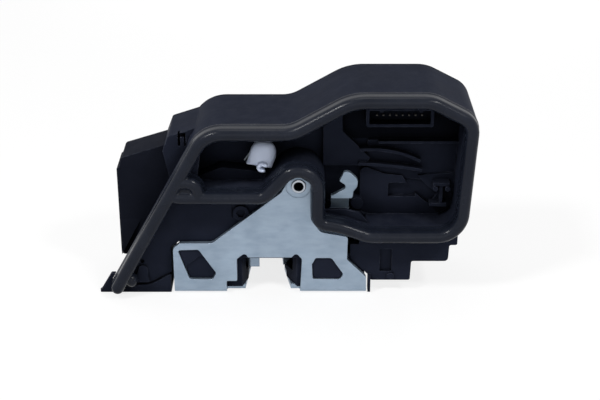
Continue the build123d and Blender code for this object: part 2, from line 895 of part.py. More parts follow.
def wormWheel():
    centre = wheelCentre()
    wheel = toothedFace(wheelTeeth, wormModule * wheelTeeth / 2, 0, wheelTeeth, 0.6, 88.75)
    blank = wheel[0] + Circle(wheel[1])
    lead = degrees(atan2(wormModule / 2, wormPitchRadius))
    twist = degrees(4.4 * tan(radians(lead)) / (wormModule * wheelTeeth / 2))
    front = Plane.XZ.offset(-(gearMiddle - 2.2))
    rim = Solid.extrude_linear_with_rotation(blank.face(), (0, 0, 0), (0, 0, 4.4), twist)
    body = Plane(origin=(centre[0], gearMiddle + 2.2, centre[1]), x_dir=(1, 0, 0), z_dir=(0, -1, 0)) * rim
    pitch = 360 / pinionTeeth
    away = gearHeading + 180
    pinion = toothedFace(pinionTeeth, toothModule * pinionTeeth / 2, 0, pinionTeeth, 0.8, away)
    body += slabY(Pos(*centre) * (pinion[0] + Circle(pinion[1])), 3.1, gearMiddle - 2.2)
    return body - rodY(centre, 1.55, 0, 30)


def wheelPin():
    return rodY(wheelCentre(), 1.5, midWall + wall, housingBack)


def wormAxis():
    x, z = wheelCentre()
    return (x, gearMiddle, z + wormModule * wheelTeeth / 2 + wormPitchRadius + 0.15)


def worm():
    x, y, z = wormAxis()
    pitch = pi * wormModule
    height = wormLength - 4
    path = Helix(pitch, height, wormPitchRadius)
    section = Polyline((-1.0, -0.85), (0.8, -0.35), (0.8, 0.35), (-1.0, 0.85), close=True)
    start = Plane(origin=path @ 0, x_dir=(1, 0, 0), z_dir=path % 0)
    thread = sweep(start * make_face(section), path=path, is_frenet=True)
    core = Cylinder(wormPitchRadius - 0.95, wormLength, align=(Align.CENTER, Align.CENTER, Align.MIN))
    body = core + Pos(0, 0, 2) * thread
    body -= Cylinder(1.0, 3 * wormLength)
    return Pos(x - wormLength / 2, y, z) * Rot(0, 90, 0) * body


def motorShaft():
    x, y, z = wormAxis()
    left = x - wormLength / 2 - 3.0
    right = motorLeft() + motorLength + 1.2
    return Pos(left, y, z) * Rot(0, 90, 0) * Cylinder(1.0, right - left, align=(Align.CENTER, Align.CENTER, Align.MIN))


def motorLeft():
    return wormAxis()[0] + wormLength / 2 + 7.0


def motorCan():
    x, y, z = wormAxis()
    left = motorLeft()
    shell = Pos(y, z) * (Circle(motorHeight / 2) & Rectangle(motorWidth, motorHeight))
    body = slabX(shell, left + 1.6, left + motorLength - 2.0)
    body += slabX(Pos(y, z) * Circle(4.0), left, left + 1.6)
    return body - slabX(Pos(y, z) * Circle(1.08), left - 1, left + motorLength)


def motorEndcap():
    x, y, z = wormAxis()
    left = motorLeft() + motorLength - 2.0
    shell = Pos(y, z) * (Circle(motorHeight / 2 - 0.4) & Rectangle(motorWidth - 0.8, motorHeight))
    body = slabX(shell, left, left + 2.0)
    body += slabX(Pos(y, z) * Circle(3.5), left + 2.0, left + 3.4)
    for dz in (-5.5, 5.5):
        body += block(left + 2, left + 5, y - 1.5, y + 1.5, z + dz - 0.4, z + dz + 0.4)
    return body - slabX(Pos(y, z) * Circle(1.08), left - 1, left + 4)


# Connector and electronics

def connectorShroud():
    x, z = socketCentre
    outer = Pos(x, z) * RectangleRounded(socketWidth + 2 * socketWall, socketHeight + 2 * socketWall, 1.2)
    inner = Pos(x, z) * RectangleRounded(socketWidth, socketHeight, 0.8)
    body = slabY(outer, socketFront, midWall) - slabY(inner, socketFront - 1, midWall - 1.2)
    for dx in (-9.0, 10.5):
        body += block(x + dx - 0.8, x + dx + 0.8, socketFront + 1.5, midWall - 1, z + 2.2, z + 4.0)
    return body - terminalPins()


def terminalPlaces():
    x, z = socketCentre
    return [(x + (n - (terminals - 1) / 2) * terminalPitch, z - 0.6) for n in range(terminals)]


def terminalPins():
    pins = Part()
    for x, z in terminalPlaces():
        pins += block(x - 0.4, x + 0.4, socketFront + terminalSink, midWall + wall + 1.2, z - 0.3, z + 0.3)
    return pins


def circuitCarrier():
    face = outline(
        (-8.0, loopTop - 4.9, 0),
        (42.0, loopTop - 4.9, 0),
        (42.0, loopCrown - 18.8, 0),
        (84.0, loopCrown - 18.8, 0),
        (84.0, loopCrown - 6.3, 2),
        (46.0, loopCrown - 6.3, 4),
        (26.0, loopTop - 0.7, 3),
        (-8.0, loopTop - 0.7, 0),
    )
    board = slabY(face, midWall + wall, midWall + wall + 1.2)
    for place in screwPlaces():
        board -= rodY(place, 4.0, 0, 10)
    return board - terminalPins()


def hallSensor():
    x, z = lockPivot
    return slabY(Pos(x, z + 14.0) * Rectangle(4.0, 3.0), midWall + wall + 1.2, midWall + wall + 2.7)


def cableClip():
    x, z = clipCentre
    post = slabY(Pos(x, z) * Rectangle(1.6, 12.0), -8.0, -3)
    post += slabY(Pos(x, z + 5.6) * Rectangle(8.4, 1.8), -8.5, -3)
    post += slabY(Pos(x - 1.4, z - 5.6) * Rectangle(8.4, 1.8), -8.5, -3)
    for dx in (-3.0, 3.2):
        post += rodY((x + dx, z + 3.6), 1.3, -9.5, -3)
    return post


# Outside release lever on the back

def outsideLever():
    x, z = outsidePivot
    face = outline(
        (x - 34.0, z + 16.0, 4),
        (x - 32.0, z + 24.5, 4),
        (x - 8.0, z + 12.0, 6),
        (x + 6.5, z + 6.0, 6),
        (x + 7.5, z - 6.0, 4),
        (x + 5.0, z - 15.5, 2.5),
        (x - 0.5, z - 15.5, 2.5),
        (x - 5.5, z - 6.0, 4),
    )
    low = coverBack + clearance
    body = slabY(face, low, low + outsideSheet)
    body -= rodY(outsidePivot, outsidePinRadius + 0.05, 20, 40)
    return body - rodY((x - 28.5, z + 18.6), 2.2, 20, 40)


def outsidePin():
    stem = rodY(outsidePivot, outsidePinRadius, coverBack, coverBack + outsideSheet + 2 * clearance)
    head = rodY(
        outsidePivot,
        outsidePinRadius + 2.0,
        coverBack + outsideSheet + 2 * clearance,
        coverBack + outsideSheet + 2 * clearance + 1.6,
    )
    return stem + chamfer(head.edges().group_by(Axis.Y)[-1], 0.7)


def coverScrews():
    screws = Part()
    for place in screwPlaces():
        head = rodY(place, 3.0, coverBack, coverBack + 2.0)
        head = chamfer(head.edges().group_by(Axis.Y)[-1], 0.6)
        recess = slabY(Pos(*place) * RegularPolygon(1.5, 6), coverBack + 0.8, coverBack + 3)
        screws += head + rodY(place, 1.25, coverBack - 10, coverBack) - recess
    return screws


def torsionSpring(place, radius, wire, turns, legs):
    # Close-wound coil along +Z of its own frame, with a straight leg at each end.
    pitch = wire * 2.2
    coil = Helix(pitch, pitch * turns, radius)
    first = Edge.make_line(coil @ 0 - coil % 0 * legs[0], coil @ 0)
    last = Edge.make_line(coil @ 1, coil @ 1 + coil % 1 * legs[1])
    path = Wire([first, coil.edge(), last])
    section = Plane(origin=path @ 0, z_dir=path % 0) * RegularPolygon(wire, 6)
    return place * sweep(section, path=path, is_frenet=True)


def clawSpring():
    return torsionSpring(Pos(*clawPivot, clawBottom + clawThick + skinThick) * Rot(0, 0, 200), 5.2, 0.5, 1.25, (5, 8))


def lockSpring():
    x, z = lockPivot
    frame = Plane(origin=(x, -6.3, z), x_dir=(1, 0, 0), z_dir=(0, -1, 0)).location
    return torsionSpring(frame * Rot(0, 0, 116), 5.6, 0.4, 1.08, (12, 8))


nodes = {
    "latch_plate": latchPlate,
    "flange_bush": flangeBush,
    "main_housing": mainHousing,
    "rear_cover": rearCover,
    "side_cover": sideCover,
    "base_skirt": baseSkirt,
    "latch_case": latchCase,
    "seal_gasket": sealGasket,
    "claw": claw,
    "claw_overmould": clawOvermould,
    "claw_pivot": lambda: pivotPin(clawPivot, clawPinRadius),
    "claw_spring": clawSpring,
    "pawl": pawl,
    "pawl_finger": pawlFinger,
    "pawl_pivot": lambda: pivotPin(pawlPivot, pawlPinRadius),
    "striker_buffer": strikerBuffer,
    "inside_release_lever": insideRelease,
    "inside_release_pin": releasePin,
    "lock_lever": lockLever,
    "lock_shaft": lockShaft,
    "lock_spring": lockSpring,
    "sector_gear": sectorGear,
    "worm_wheel": wormWheel,
    "wheel_pin": wheelPin,
    "worm": worm,
    "motor_shaft": motorShaft,
    "motor_can": motorCan,
    "motor_endcap": motorEndcap,
    "connector_shroud": connectorShroud,
    "terminal_pins": terminalPins,
    "circuit_carrier": circuitCarrier,
    "hall_sensor": hallSensor,
    "cable_clip": cableClip,
    "outside_release_lever": outsideLever,
    "outside_release_pin": outsidePin,
    "cover_screws": coverScrews,
}

os.makedirs("parts", exist_ok=True)
for name, make in nodes.items():
    export_step(make(), f"parts/{name}.step")
    print(name)
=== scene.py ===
import json
from math import atan2, cos, pi, radians, sin, tan

import bmesh
import bpy
from mathutils import Matrix, Vector


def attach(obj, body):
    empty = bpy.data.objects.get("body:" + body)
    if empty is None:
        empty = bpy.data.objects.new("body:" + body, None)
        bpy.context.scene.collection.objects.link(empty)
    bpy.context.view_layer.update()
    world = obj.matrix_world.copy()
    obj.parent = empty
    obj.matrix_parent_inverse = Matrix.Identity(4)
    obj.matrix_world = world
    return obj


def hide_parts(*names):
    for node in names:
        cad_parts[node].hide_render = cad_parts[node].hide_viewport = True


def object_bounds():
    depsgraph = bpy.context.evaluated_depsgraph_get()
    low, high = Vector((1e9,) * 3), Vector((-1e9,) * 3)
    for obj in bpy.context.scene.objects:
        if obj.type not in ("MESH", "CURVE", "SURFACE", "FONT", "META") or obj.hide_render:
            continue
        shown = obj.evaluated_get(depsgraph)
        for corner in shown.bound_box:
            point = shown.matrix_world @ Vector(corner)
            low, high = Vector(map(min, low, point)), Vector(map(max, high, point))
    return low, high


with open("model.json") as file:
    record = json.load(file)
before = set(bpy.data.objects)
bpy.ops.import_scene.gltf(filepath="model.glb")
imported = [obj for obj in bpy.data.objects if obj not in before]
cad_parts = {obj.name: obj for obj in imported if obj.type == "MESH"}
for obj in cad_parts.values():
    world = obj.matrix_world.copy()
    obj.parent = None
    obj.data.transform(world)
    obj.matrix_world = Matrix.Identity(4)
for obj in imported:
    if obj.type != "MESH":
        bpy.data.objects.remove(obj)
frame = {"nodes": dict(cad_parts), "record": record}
cadBox = [list(c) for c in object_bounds()]
mm = 0.001
bpy.context.scene.view_settings.view_transform = "Standard"
print("stage: frame loaded")

cameraLook = {
    "target": (15.5, -18.0, 53.1), "distance": 650.0, "elevation": 25.0, "lens": 78.0, "sensor": 36.0,
}


def placeCamera(look):
    data = bpy.data.cameras.new("frontCamera")
    data.lens = look["lens"]
    data.sensor_width = look["sensor"]
    data.clip_start = 0.01
    camera = bpy.data.objects.new("frontCamera", data)
    bpy.context.scene.collection.objects.link(camera)
    target = Vector(look["target"]) * mm
    up = radians(look["elevation"])
    camera.location = target + Vector((0, -cos(up), sin(up))) * look["distance"] * mm
    camera.rotation_euler = (pi / 2 - up, 0, 0)
    bpy.context.scene.camera = camera


placeCamera(cameraLook)


def newGroup(name, inputs, outputs):
    group = bpy.data.node_groups.new(name, "ShaderNodeTree")
    for label, kind, value in inputs:
        socket = group.interface.new_socket(name=label, in_out="INPUT", socket_type=kind)
        socket.default_value = value
    for label, kind in outputs:
        group.interface.new_socket(name=label, in_out="OUTPUT", socket_type=kind)
    return group, group.nodes.new("NodeGroupInput"), group.nodes.new("NodeGroupOutput")


def add(tree, kind, **values):
    node = tree.nodes.new(kind)
    for key, value in values.items():
        if isinstance(value, dict):
            for label, amount in value.items():
                getattr(node, key)[label].default_value = amount
        else:
            setattr(node, key, value)
    return node


def calc(tree, operation, a, b):
    node = add(tree, "ShaderNodeMath", operation=operation)
    for socket, value in zip(node.inputs, (a, b)):
        if isinstance(value, (int, float)):
            socket.default_value = value
        else:
            tree.links.new(value, socket)
    return node.outputs[0]


def grainGroup():
    # Fine moulded or cast grain: a height for the bump and a mask that varies slowly
    group, start, end = newGroup(
        "surfaceGrain",
        [("Scale", "NodeSocketFloat", 900.0), ("Patch Scale", "NodeSocketFloat", 40.0)],
        [("Height", "NodeSocketFloat"), ("Patches", "NodeSocketFloat")],
    )
    place = add(group, "ShaderNodeTexCoord")
    fine = add(group, "ShaderNodeTexNoise", inputs={"Detail": 3.0, "Roughness": 0.6})
    broad = add(group, "ShaderNodeTexNoise", inputs={"Detail": 4.0, "Roughness": 0.55})
    link = group.links.new
    link(place.outputs["Object"], fine.inputs["Vector"])
    link(place.outputs["Object"], broad.inputs["Vector"])
    link(start.outputs["Scale"], fine.inputs["Scale"])
    link(start.outputs["Patch Scale"], broad.inputs["Scale"])
    link(fine.outputs["Fac"], end.inputs["Height"])
    link(broad.outputs["Fac"], end.inputs["Patches"])
    return group


def edgeGroup():
    # Where a surface turns sharply: 1 on worn edges, 0 on flats; the plastics lighten these edges as wear
    # and painted highlight together
    group, start, end = newGroup(
        "edgeWearAndSheen",
        [("Radius", "NodeSocketFloat", 0.0006), ("Breakup", "NodeSocketFloat", 250.0)],
        [("Edge", "NodeSocketFloat"), ("Soft Normal", "NodeSocketVector")],
    )
    link = group.links.new
    bevel = add(group, "ShaderNodeBevel", samples=6)
    link(start.outputs["Radius"], bevel.inputs["Radius"])
    geometry = add(group, "ShaderNodeNewGeometry")
    dot = add(group, "ShaderNodeVectorMath", operation="DOT_PRODUCT")
    link(bevel.outputs["Normal"], dot.inputs[0])
    link(geometry.outputs["Normal"], dot.inputs[1])
    sharp = add(group, "ShaderNodeMapRange", inputs={"From Min": 0.995, "From Max": 0.85})
    link(dot.outputs["Value"], sharp.inputs["Value"])
    place = add(group, "ShaderNodeTexCoord")
    noise = add(group, "ShaderNodeTexNoise", inputs={"Detail": 4.0})
    link(place.outputs["Object"], noise.inputs["Vector"])
    link(start.outputs["Breakup"], noise.inputs["Scale"])
    broken = add(group, "ShaderNodeMapRange", inputs={"From Min": 0.4, "From Max": 0.62})
    link(noise.outputs["Fac"], broken.inputs["Value"])
    link(calc(group, "MULTIPLY", sharp.outputs["Result"], broken.outputs["Result"]), end.inputs["Edge"])
    link(bevel.outputs["Normal"], end.inputs["Soft Normal"])
    return group


def dustGroup():
    # Pale dust on faces that look up
    group, start, end = newGroup(
        "settledDust",
        [("Amount", "NodeSocketFloat", 0.1), ("Scale", "NodeSocketFloat", 120.0)],
        [("Dust", "NodeSocketFloat")],
    )
    link = group.links.new
    geometry = add(group, "ShaderNodeNewGeometry")
    split = add(group, "ShaderNodeSeparateXYZ")
    link(geometry.outputs["Normal"], split.inputs[0])
    upward = add(group, "ShaderNodeMapRange", inputs={"From Min": 0.2, "From Max": 1.0})
    link(split.outputs["Z"], upward.inputs["Value"])
    place = add(group, "ShaderNodeTexCoord")
    noise = add(group, "ShaderNodeTexNoise", inputs={"Detail": 6.0, "Roughness": 0.7})
    link(place.outputs["Object"], noise.inputs["Vector"])
    link(start.outputs["Scale"], noise.inputs["Scale"])
    speck = add(group, "ShaderNodeMapRange", inputs={"From Min": 0.42, "From Max": 0.7})
    link(noise.outputs["Fac"], speck.inputs["Value"])
    amount = calc(group, "MULTIPLY", speck.outputs["Result"], start.outputs["Amount"])
    link(calc(group, "MULTIPLY", upward.outputs["Result"], amount), end.inputs["Dust"])
    return group


def hollowShadingGroup():
    # 1 on open surfaces, 0 deep in a pocket, where little light comes; the plastics darken their colour
    # there as painted shade
    group, start, end = newGroup(
        "paintedHollowShade",
        [("Reach", "NodeSocketFloat", 0.012)],
        [("Open", "NodeSocketFloat")],
    )
    link = group.links.new
    occlusionShade = add(group, "ShaderNodeAmbientOcclusion", samples=6)
    link(start.outputs["Reach"], occlusionShade.inputs["Distance"])
    share = add(group, "ShaderNodeMapRange", inputs={"From Min": 0.15, "From Max": 0.75})
    link(occlusionShade.outputs["AO"], share.inputs["Value"])
    link(share.outputs["Result"], end.inputs["Open"])
    return group


grain = grainGroup()
edges = edgeGroup()
dust = dustGroup()
hollowShading = hollowShadingGroup()
print("stage: shared effects built")


def newMaterial(name):
    material = bpy.data.materials.new(name)
    material.use_nodes = True
    tree = material.node_tree
    tree.nodes.clear()
    shader = tree.nodes.new("ShaderNodeBsdfPrincipled")
    output = tree.nodes.new("ShaderNodeOutputMaterial")
    tree.links.new(shader.outputs[0], output.inputs[0])
    return material, tree, shader


def useGroup(tree, group, **values):
    node = tree.nodes.new("ShaderNodeGroup")
    node.node_tree = group
    for label, amount in values.items():
        node.inputs[label.replace("_", " ")].default_value = amount
    return node


def mixColour(tree, mask, low, high):
    node = add(tree, "ShaderNodeMix", data_type="RGBA")
    tree.links.new(mask, node.inputs["Factor"])
    for socket, value in ((node.inputs[6], low), (node.inputs[7], high)):
        if hasattr(value, "links"):
            tree.links.new(value, socket)
        else:
            socket.default_value = (*value, 1)
    return node.outputs[2]


def spread(tree, value, low, high, fromMin=0.3, fromMax=0.7):
    node = add(
        tree,
        "ShaderNodeMapRange",
        inputs={"From Min": fromMin, "From Max": fromMax, "To Min": low, "To Max": high},
    )
    tree.links.new(value, node.inputs["Value"])
    return node.outputs["Result"]


def bumped(tree, height, normal, strength, distance):
    node = add(tree, "ShaderNodeBump", inputs={"Strength": strength, "Distance": distance})
    tree.links.new(height, node.inputs["Height"])
    tree.links.new(normal, node.inputs["Normal"])
    return node.outputs["Normal"]


dustColour = (0.2, 0.21, 0.24)


def mouldedPlastic(name, finish):
    # Glass-filled moulding: fine spark texture, edges lightened as rubbed wear and painted highlight
    # together, painted shade in deep hollows, and a little dust
    material, tree, shader = newMaterial(name)
    skin = useGroup(tree, grain, Scale=finish["grain"], Patch_Scale=35.0)
    wearAndSheen = useGroup(tree, edges, Radius=finish["edge"], Breakup=260.0)
    settled = useGroup(tree, dust, Amount=finish["dust"], Scale=140.0)
    base = mixColour(tree, spread(tree, skin.outputs["Patches"], 0, 1), finish["dark"], finish["light"])
    # The rubbed edge colour stands for wear and painted highlight together
    worn = calc(tree, "MULTIPLY", wearAndSheen.outputs["Edge"], finish["wearAndSheen"])
    rubbedAndSheen = mixColour(tree, worn, base, finish["rubbedAndSheen"])
    dusty = mixColour(tree, settled.outputs["Dust"], rubbedAndSheen, dustColour)
    # Painted shade: the colour is darkened in deep hollows, down to the finish's hollow shade level
    occlusionShade = useGroup(tree, hollowShading, Reach=0.014)
    deep = add(tree, "ShaderNodeHueSaturation", inputs={"Value": finish["hollowShade"]})
    tree.links.new(dusty, deep.inputs["Color"])
    base = mixColour(tree, occlusionShade.outputs["Open"], deep.outputs["Color"], dusty)
    tree.links.new(base, shader.inputs["Base Color"])
    rough = spread(tree, skin.outputs["Patches"], finish["rough"] - 0.05, finish["rough"] + 0.06)
    tree.links.new(rough, shader.inputs["Roughness"])
    normal = bumped(tree, skin.outputs["Height"], wearAndSheen.outputs["Soft Normal"], finish["bump"], 0.08 * mm)
    tree.links.new(normal, shader.inputs["Normal"])
    shader.inputs["Specular IOR Level"].default_value = finish["gloss"]
    return material


def shadePocket(material, pocket):
    # Paints shade into the colour of the faces that look forward inside a space bounded by planes: a
    # direction and how far along it the plane stands, in millimetres
    tree = material.node_tree
    socket = next(n for n in tree.nodes if n.type == "BSDF_PRINCIPLED").inputs["Base Color"]
    place = add(tree, "ShaderNodeTexCoord")
    facing = add(tree, "ShaderNodeSeparateXYZ")
    tree.links.new(place.outputs["Normal"], facing.inputs[0])
    pocketShadeMask = spread(tree, facing.outputs["Y"], 1, 0, -0.8, -0.6)
    for x, y, z, limit in pocket["planes"]:
        dot = add(tree, "ShaderNodeVectorMath", operation="DOT_PRODUCT")
        tree.links.new(place.outputs["Object"], dot.inputs[0])
        dot.inputs[1].default_value = (x, y, z)
        edge = limit * mm
        step = spread(tree, dot.outputs["Value"], 0, 1, edge, edge + pocket["fade"] * mm)
        pocketShadeMask = calc(tree, "MULTIPLY", pocketShadeMask, step)
    base = socket.links[0].from_socket
    deep = add(tree, "ShaderNodeHueSaturation", inputs={"Value": pocket["shadeLevel"]})
    tree.links.new(base, deep.inputs["Color"])
    tree.links.new(mixColour(tree, pocketShadeMask, base, deep.outputs["Color"]), socket)


def plainMetal(name, finish):
    # Rolled, drawn or turned metal with a faint direction, stains and bright edges
    material, tree, shader = newMaterial(name)
    skin = useGroup(tree, grain, Scale=finish["grain"], Patch_Scale=finish["patch"])
    wearAndSheen = useGroup(tree, edges, Radius=finish["edge"], Breakup=400.0)
    place = add(tree, "ShaderNodeTexCoord")
    stretch = add(tree, "ShaderNodeMapping", inputs={"Scale": finish["brush"]})
    tree.links.new(place.outputs["Object"], stretch.inputs["Vector"])
    lines = add(tree, "ShaderNodeTexNoise", inputs={"Scale": 1.0, "Detail": 3.0})
    tree.links.new(stretch.outputs["Vector"], lines.inputs["Vector"])
    base = mixColour(tree, spread(tree, skin.outputs["Patches"], 0, 1), finish["dark"], finish["light"])
    brushed = spread(tree, lines.outputs["Fac"], 0, finish["streak"])
    streaked = mixColour(tree, brushed, base, finish["bright"])
    worn = calc(tree, "MULTIPLY", wearAndSheen.outputs["Edge"], finish["worn"])
    tree.links.new(mixColour(tree, worn, streaked, finish["bright"]), shader.inputs["Base Color"])
    tree.links.new(
        spread(tree, skin.outputs["Patches"], finish["rough"] - 0.06, finish["rough"] + 0.08),
        shader.inputs["Roughness"],
    )
    shader.inputs["Metallic"].default_value = finish["metal"]
    height = calc(tree, "ADD", lines.outputs["Fac"], skin.outputs["Height"])
    normal = bumped(tree, height, wearAndSheen.outputs["Soft Normal"], finish["bump"], 0.05 * mm)
    tree.links.new(normal, shader.inputs["Normal"])
    return material


plasticFinishes = {
    "black_plastic": {
        "dark": (0.0105, 0.0128, 0.0220), "light": (0.0150, 0.0180, 0.0295), "rubbedAndSheen": (0.085, 0.095, 0.13),
        "grain": 1500.0, "edge": 0.0005, "dust": 0.03, "wearAndSheen": 0.6, "rough": 0.42, "bump": 0.3,
        "gloss": 0.005, "hollowShade": 0.22,
    },
    "grey_plastic": {
        "dark": (0.0098, 0.0116, 0.0190), "light": (0.0142, 0.0166, 0.0260), "rubbedAndSheen": (0.08, 0.09, 0.12),
        "grain": 1100.0, "edge": 0.0005, "dust": 0.03, "wearAndSheen": 0.6, "rough": 0.46, "bump": 0.4,
        "gloss": 0.005, "hollowShade": 0.22,
    },
    "seal_rubber": {
        "dark": (0.0068, 0.0088, 0.0150), "light": (0.0106, 0.0132, 0.0215), "rubbedAndSheen": (0.06, 0.06, 0.065),
        "grain": 1900.0, "edge": 0.0003, "dust": 0.02, "wearAndSheen": 0.1, "rough": 0.25, "bump": 0.35,
        "gloss": 0.12, "hollowShade": 0.5,
    },
    "bumper_rubber": {
        "dark": (0.012, 0.012, 0.012), "light": (0.022, 0.021, 0.021), "rubbedAndSheen": (0.06, 0.06, 0.06),
        "grain": 900.0, "edge": 0.0005, "dust": 0.2, "wearAndSheen": 0.2, "rough": 0.7, "bump": 0.5,
        "gloss": 0.3, "hollowShade": 0.6,
    },
    "white_plastic": {
        "dark": (0.60, 0.68, 0.86), "light": (0.66, 0.74, 0.92), "rubbedAndSheen": (0.80, 0.86, 0.95),
        "grain": 700.0, "edge": 0.0005, "dust": 0.05, "wearAndSheen": 0.3, "rough": 0.32, "bump": 0.08,
        "gloss": 0.35, "hollowShade": 0.75,
    },
    "gear_plastic": {
        "dark": (0.56, 0.54, 0.47), "light": (0.66, 0.64, 0.57), "rubbedAndSheen": (0.8, 0.78, 0.7),
        "grain": 700.0, "edge": 0.0003, "dust": 0.05, "wearAndSheen": 0.3, "rough": 0.38, "bump": 0.1,
        "gloss": 0.45, "hollowShade": 0.75,
    },
    "sensor_plastic": {
        "dark": (0.010, 0.010, 0.011), "light": (0.016, 0.016, 0.018), "rubbedAndSheen": (0.1, 0.1, 0.1),
        "grain": 2500.0, "edge": 0.0002, "dust": 0.05, "wearAndSheen": 0.3, "rough": 0.35, "bump": 0.2,
        "gloss": 0.5, "hollowShade": 0.6,
    },
}
metalFinishes = {
    "zinc_steel": {
        "dark": (0.222, 0.287, 0.367), "light": (0.28, 0.355, 0.445), "bright": (0.46, 0.54, 0.64),
        "grain": 500.0, "patch": 90.0, "brush": (120, 200, 330), "streak": 0.22, "edge": 0.0004,
        "rough": 0.44, "bump": 0.18, "metal": 0.75, "worn": 0.3,
    },
    "chrome_ring": {
        "dark": (0.33, 0.36, 0.41), "light": (0.42, 0.45, 0.50), "bright": (0.85, 0.88, 0.92),
        "grain": 900.0, "patch": 200.0, "brush": (900, 900, 900), "streak": 0.1, "edge": 0.0003,
        "rough": 0.2, "bump": 0.1, "metal": 1.0, "worn": 0.6,
    },
    "dark_steel": {
        "dark": (0.06, 0.06, 0.065), "light": (0.11, 0.11, 0.115), "bright": (0.42, 0.43, 0.44),
        "grain": 800.0, "patch": 90.0, "brush": (200, 900, 900), "streak": 0.3, "edge": 0.0005,
        "rough": 0.4, "bump": 0.25, "metal": 0.85, "worn": 0.6,
    },
    "spring_steel": {
        "dark": (0.13, 0.15, 0.17), "light": (0.20, 0.22, 0.25), "bright": (0.45, 0.50, 0.55),
        "grain": 1500.0, "patch": 200.0, "brush": (900, 900, 900), "streak": 0.2, "edge": 0.0001,
        "rough": 0.3, "bump": 0.1, "metal": 1.0, "worn": 0.6,
    },
    "brass_part": {
        "dark": (0.55, 0.38, 0.14), "light": (0.68, 0.50, 0.22), "bright": (0.88, 0.72, 0.42),
        "grain": 900.0, "patch": 120.0, "brush": (900, 200, 200), "streak": 0.3, "edge": 0.0002,
        "rough": 0.3, "bump": 0.15, "metal": 1.0, "worn": 0.6,
    },
    "motor_steel": {
        "dark": (0.46, 0.47, 0.49), "light": (0.58, 0.59, 0.61), "bright": (0.8, 0.8, 0.82),
        "grain": 700.0, "patch": 80.0, "brush": (60, 1200, 1200), "streak": 0.3, "edge": 0.0004,
        "rough": 0.35, "bump": 0.15, "metal": 1.0, "worn": 0.6,
    },
    # Near black as painted shade: the pins sit deep in the plug's socket
    "tin_pin": {
        "dark": (0.030, 0.030, 0.030), "light": (0.050, 0.048, 0.044), "bright": (0.16, 0.15, 0.13),
        "grain": 1500.0, "patch": 300.0, "brush": (900, 200, 900), "streak": 0.2, "edge": 0.0001,
        "rough": 0.45, "bump": 0.1, "metal": 0.3, "worn": 0.6,
    },
}

materials = {}
for name, finish in plasticFinishes.items():
    materials[name] = mouldedPlastic(name, finish)
for name, finish in metalFinishes.items():
    materials[name] = plainMetal(name, finish)

# Painted shade for the deep corner of the recess that holds the plug's socket, and for the recess's low
# floor
socketPocketShade = {
    "planes": [
        (0, 0, 1, 78.9), (1, 0, 0, 36.5), (0.707, 0, 0.707, 85.4), (-1, 0, 0, -96.0),
        (0, 1, 0, -12.0), (0, -1, 0, -3.0),
    ],
    "fade": 0.4,
    "shadeLevel": 0.28,
}
lowFloorShade = {
    "planes": [(0, 0, -1, -48.0), (1, 0, 0, 36.5), (-1, 0, 0, -97.0), (0, 1, 0, -14.0)],
    "fade": 14.0,
    "shadeLevel": 0.5,
}
housingPlastic = mouldedPlastic("housing_plastic", plasticFinishes["black_plastic"])
# The housing's colour carries painted shade in these two places
for pocket in (socketPocketShade, lowFloorShade):
    shadePocket(housingPlastic, pocket)

# A darker copy of the zinc steel: painted shade for the release lever deep in the recess
shadedLeverSteel = {**metalFinishes["zinc_steel"], "dark": (0.165, 0.22, 0.285), "light": (0.21, 0.275, 0.35)}
# A darker copy of the grey plastic: painted shade for the side cover, which lies in the tail's shadow
shadedCoverPlastic = {
    **plasticFinishes["grey_plastic"], "dark": (0.0068, 0.0080, 0.0132), "light": (0.0098, 0.0114, 0.0180),
}
ownMaterials = {
    "main_housing": housingPlastic,
    "inside_release_lever": plainMetal("shaded_lever_steel", shadedLeverSteel),
    "side_cover": mouldedPlastic("shaded_cover_plastic", shadedCoverPlastic),
}

slotOf = {part["node"]: part["material_slot"] for part in frame["record"]["subparts"]}
for name, node in frame["nodes"].items():
    node.data.materials.clear()
    node.data.materials.append(ownMaterials.get(name, materials[slotOf[name]]))
print("stage: materials placed")

seal = {
    "seat": -18.0,
    "width": 7.4,
    "depth": 8.2,
    "lip": 0.45,
    "lipLow": 0.9,
    "lipHigh": 1.5,
    "crown": 3.3,
    "crownSteps": 14,
    "crownPower": 0.95,
    "step": 1.2,
    "voxel": 0.36,
    "smooth": 4,
    "nub": (-70.9, -19.4, 8.7),
    "nubSize": (3.3, 3.8, 3.8),
    "loop": [
        (-31.1, 90.3, 15), (11.8, 90.3, 20), (41.0, 106.8, 26), (79.0, 106.8, 15), (99.5, 96.1, 9),
        (96.1, 35.0, 13), (50.0, 35.0, 12), (37.0, 40.0, 12), (24.4, 42.6, 5), (24.4, 70.9, 9.5),
        (10.5, 70.9, 8), (-2.5, 56.6, 7), (-49.7, 56.6, 3), (-37.0, 79.5, 9),
    ],
    "tail": [(-37.0, 79.5), (-77.8, 5.8)],
    "endTurns": 24,
    "knee": [(-43.5, 64.5), (-34.6, 66.4), (-35.0, 56.6)],
    "kneeSteps": 14,
    "web": [(-50.6, 54.2), (-34.5, 54.2), (-34.5, 63.0), (-43.5, 67.0)],
    "webDrop": 2.0,
}


